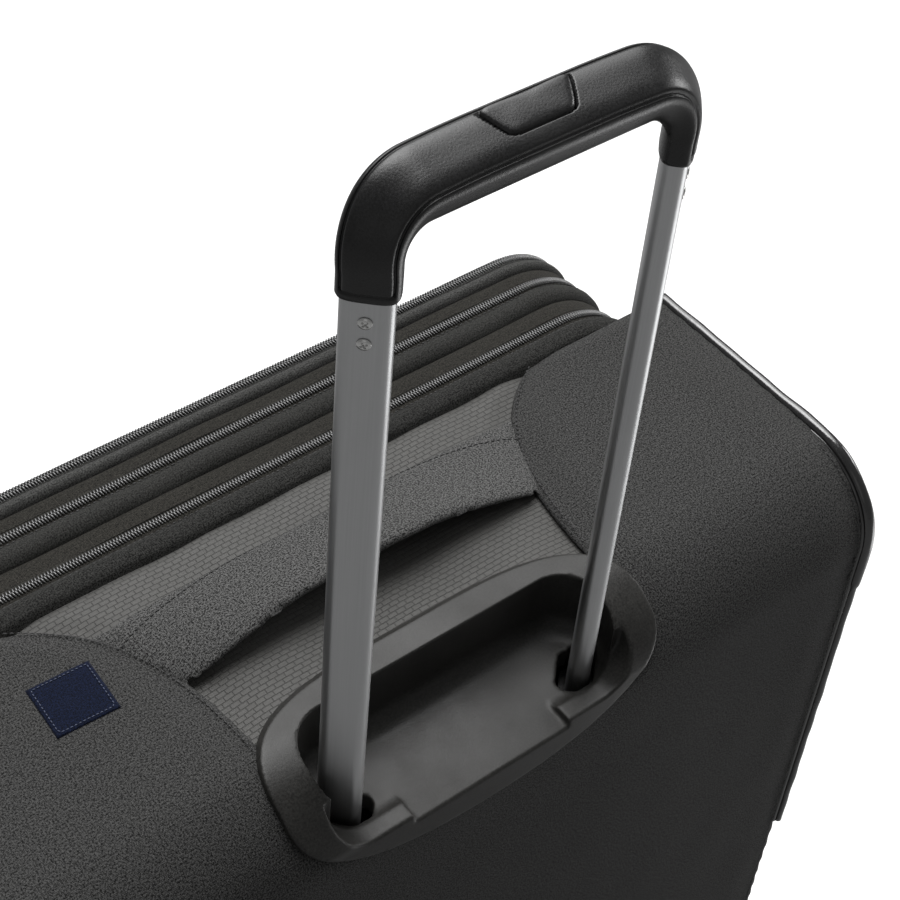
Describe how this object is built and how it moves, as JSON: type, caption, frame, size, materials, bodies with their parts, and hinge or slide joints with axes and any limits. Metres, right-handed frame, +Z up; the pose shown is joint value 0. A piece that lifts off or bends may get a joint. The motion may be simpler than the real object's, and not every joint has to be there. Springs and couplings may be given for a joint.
{
  "type": "softside upright suitcase",
  "caption": "Softside upright suitcase with a telescoping trolley handle, expandable zipped section, hinged lid, carry handles and swivel wheels.",
  "frame": {"origin": "on the floor under the middle of the case", "axes": "+Z up, +Y towards the back where the trolley handle is, +X across the case towards the side carry handle"},
  "size_m": [0.488, 0.29, 1.051],
  "materials": {
    "shell_fabric": "charcoal plain weave polyester, matte",
    "ripstop_fabric": "charcoal brick pattern ripstop",
    "lining_fabric": "grey polyester lining",
    "handle_webbing": "padded plain weave handle",
    "piping_vinyl": "glossy black vinyl piping",
    "zip_nylon": "black nylon coil",
    "slider_metal": "gunmetal slider",
    "patch_fabric": "navy woven patch",
    "bezel_plastic": "fine textured dark grey",
    "grip_plastic": "grained black, semi gloss",
    "tube_aluminium": "satin anodised",
    "steel_parts": "bright steel",
    "caster_plastic": "black moulded nylon",
    "wheel_rubber": "black polyurethane tread"
  },
  "bodies": {
    "case": {"fabric_wrap": "shell_fabric", "top_ripstop_panel": "ripstop_fabric", "side_panel_left": "shell_fabric", "side_panel_right": "shell_fabric", "edge_piping": "piping_vinyl", "lining": "lining_fabric", "back_board": "bezel_plastic", "front_gusset_strip": "shell_fabric", "expansion_gusset": "ripstop_fabric", "expansion_zip": "zip_nylon", "base_plate": "bezel_plastic", "corner_guards": "bezel_plastic", "trolley_foot": "bezel_plastic", "top_carry_handle": "handle_webbing", "side_carry_handle": "handle_webbing", "label_patch": "patch_fabric", "handle_bezel": "bezel_plastic", "outer_tubes": "tube_aluminium", "guide_bushes": "bezel_plastic"},
    "expansion_section": {"expansion_frame": "shell_fabric", "main_zip": "zip_nylon"},
    "lid": {"lid_shell": "shell_fabric", "upper_pocket": "shell_fabric", "lower_pocket": "shell_fabric", "pocket_zip": "zip_nylon"},
    "trolley": {"inner_tube_left": "tube_aluminium", "inner_tube_right": "tube_aluminium", "lock_blocks": "grip_plastic", "tube_screws": "steel_parts", "grip_upper": "grip_plastic", "grip_lower": "grip_plastic"},
    "button": {"push_button": "grip_plastic", "push_rods": "steel_parts", "button_springs": "steel_parts"},
    "lock_pin_left": {"lock_pin_left": "steel_parts"},
    "lock_pin_right": {"lock_pin_right": "steel_parts"},
    "caster_front_left": {"caster_fork_front_left": "caster_plastic", "caster_axle_front_left": "steel_parts"},
    "wheels_front_left": {"caster_wheels_front_left": "wheel_rubber"},
    "caster_front_right": {"caster_fork_front_right": "caster_plastic", "caster_axle_front_right": "steel_parts"},
    "wheels_front_right": {"caster_wheels_front_right": "wheel_rubber"},
    "caster_rear_left": {"caster_fork_rear_left": "caster_plastic", "caster_axle_rear_left": "steel_parts"},
    "wheels_rear_left": {"caster_wheels_rear_left": "wheel_rubber"},
    "caster_rear_right": {"caster_fork_rear_right": "caster_plastic", "caster_axle_rear_right": "steel_parts"},
    "wheels_rear_right": {"caster_wheels_rear_right": "wheel_rubber"},
    "main_slider_upper": {"main_slider_upper": "slider_metal"},
    "main_pull_upper": {"main_pull_upper": "slider_metal"},
    "main_slider_lower": {"main_slider_lower": "slider_metal"},
    "main_pull_lower": {"main_pull_lower": "slider_metal"},
    "expansion_slider": {"expansion_slider": "slider_metal"},
    "expansion_pull": {"expansion_pull": "slider_metal"},
    "pocket_slider": {"pocket_slider": "slider_metal"},
    "pocket_pull": {"pocket_pull": "slider_metal"}
  },
  "joints": [
    {"name": "expansion_slide", "type": "slide", "parent": "case", "child": "expansion_section", "axis": [0, -1, 0], "range_m": [0, 0.034]},
    {"name": "lid_hinge", "type": "hinge", "parent": "expansion_section", "child": "lid", "pos_m": [-0.232, -0.069, 0.4045], "axis": [0, 0, -1], "range_deg": [0, 165]},
    {"name": "trolley_slide", "type": "slide", "parent": "case", "child": "trolley", "axis": [0, 0, 1], "range_m": [-0.29, 0]},
    {"name": "button_press", "type": "slide", "parent": "trolley", "child": "button", "axis": [0, 0, -1], "range_m": [0, 0.004], "stiffness_N_per_m": 900, "springref_m": -0.003, "deforming": ["button_springs"]},
    {"name": "lock_pin_left_slide", "type": "slide", "parent": "trolley", "child": "lock_pin_left", "axis": [-0.7071, 0.7071, 0], "range_m": [-0.002, 0]},
    {"name": "lock_pin_right_slide", "type": "slide", "parent": "trolley", "child": "lock_pin_right", "axis": [0.7071, 0.7071, 0], "range_m": [-0.002, 0]},
    {"name": "swivel_front_left", "type": "hinge", "parent": "case", "child": "caster_front_left", "pos_m": [-0.19, -0.045, 0.05], "axis": [0, 0, 1], "continuous": true},
    {"name": "roll_front_left", "type": "hinge", "parent": "caster_front_left", "child": "wheels_front_left", "pos_m": [-0.19, -0.031, 0.025], "axis": [1, 0, 0], "continuous": true},
    {"name": "swivel_front_right", "type": "hinge", "parent": "case", "child": "caster_front_right", "pos_m": [0.19, -0.045, 0.05], "axis": [0, 0, 1], "continuous": true},
    {"name": "roll_front_right", "type": "hinge", "parent": "caster_front_right", "child": "wheels_front_right", "pos_m": [0.19, -0.031, 0.025], "axis": [1, 0, 0], "continuous": true},
    {"name": "swivel_rear_left", "type": "hinge", "parent": "case", "child": "caster_rear_left", "pos_m": [-0.19, 0.095, 0.05], "axis": [0, 0, 1], "continuous": true},
    {"name": "roll_rear_left", "type": "hinge", "parent": "caster_rear_left", "child": "wheels_rear_left", "pos_m": [-0.19, 0.109, 0.025], "axis": [1, 0, 0], "continuous": true},
    {"name": "swivel_rear_right", "type": "hinge", "parent": "case", "child": "caster_rear_right", "pos_m": [0.19, 0.095, 0.05], "axis": [0, 0, 1], "continuous": true},
    {"name": "roll_rear_right", "type": "hinge", "parent": "caster_rear_right", "child": "wheels_rear_right", "pos_m": [0.19, 0.109, 0.025], "axis": [1, 0, 0], "continuous": true},
    {"name": "main_slider_upper_slide", "type": "slide", "parent": "expansion_section", "child": "main_slider_upper", "axis": [0, 0, 1], "range_m": [0, 0.2]},
    {"name": "main_pull_upper_swing", "type": "hinge", "parent": "main_slider_upper", "child": "main_pull_upper", "pos_m": [0.2397, -0.066, 0.47], "axis": [0, -1, 0], "range_deg": [0, 165]},
    {"name": "main_slider_lower_slide", "type": "slide", "parent": "expansion_section", "child": "main_slider_lower", "axis": [0, 0, 1], "range_m": [-0.26, 0]},
    {"name": "main_pull_lower_swing", "type": "hinge", "parent": "main_slider_lower", "child": "main_pull_lower", "pos_m": [0.2397, -0.066, 0.42], "axis": [0, -1, 0], "range_deg": [0, 165]},
    {"name": "expansion_slider_slide", "type": "slide", "parent": "case", "child": "expansion_slider", "axis": [0, 0, 1], "range_m": [-0.1, 0.4]},
    {"name": "expansion_pull_swing", "type": "hinge", "parent": "expansion_slider", "child": "expansion_pull", "pos_m": [0.2397, -0.036, 0.25], "axis": [0, -1, 0], "range_deg": [0, 165]},
    {"name": "pocket_slider_slide", "type": "slide", "parent": "lid", "child": "pocket_slider", "axis": [0, 0, 1], "range_m": [-0.44, 0.07]},
    {"name": "pocket_pull_swing", "type": "hinge", "parent": "pocket_slider", "child": "pocket_pull", "pos_m": [0.2397, -0.088, 0.6], "axis": [0, -1, 0], "range_deg": [0, 165]}
  ],
  "couplings": [
    {"joint": "lock_pin_left_slide", "follows": "button_press", "ratio": -0.5},
    {"joint": "lock_pin_right_slide", "follows": "button_press", "ratio": -0.5}
  ]
}
